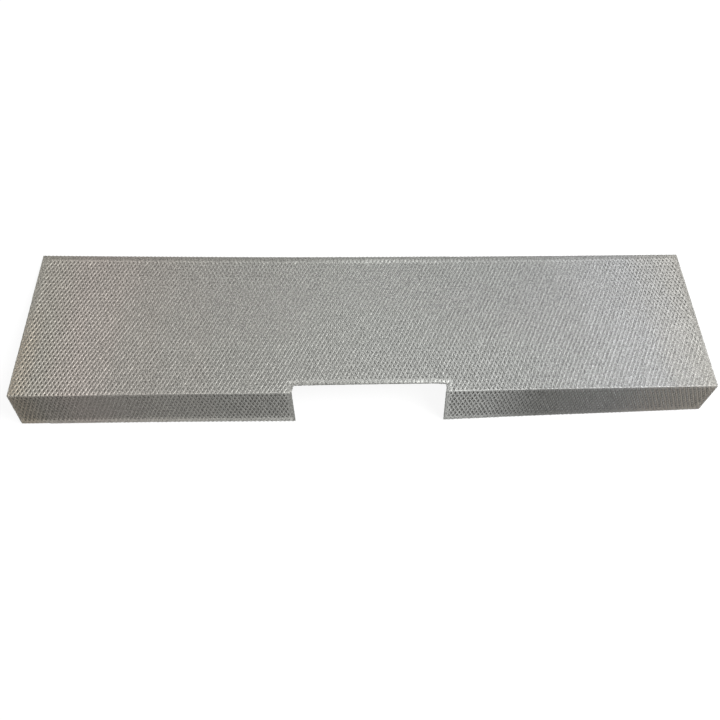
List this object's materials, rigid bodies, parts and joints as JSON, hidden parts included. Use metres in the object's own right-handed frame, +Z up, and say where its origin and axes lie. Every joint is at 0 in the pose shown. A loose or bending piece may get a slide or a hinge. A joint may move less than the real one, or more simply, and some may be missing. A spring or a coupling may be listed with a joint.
{
  "type": "cooker hood grease filter",
  "caption": "Flat grease filter of pressed aluminium mesh with a folded front lip, hemmed edges and a notch through the middle of the lip.",
  "frame": {"origin": "on the table under the middle of the part, which rests on the lip's lower edge and the panel's rear edge", "axes": "+X along the panel to the right, +Y from the lip to the rear edge, +Z up from the table"},
  "size_m": [0.56, 0.1464, 0.0367],
  "materials": {
    "aluminium_mesh": "bare expanded aluminium mesh, dull silver"
  },
  "bodies": {
    "root": {"filter_mesh": "aluminium_mesh"}
  },
  "joints": []
}
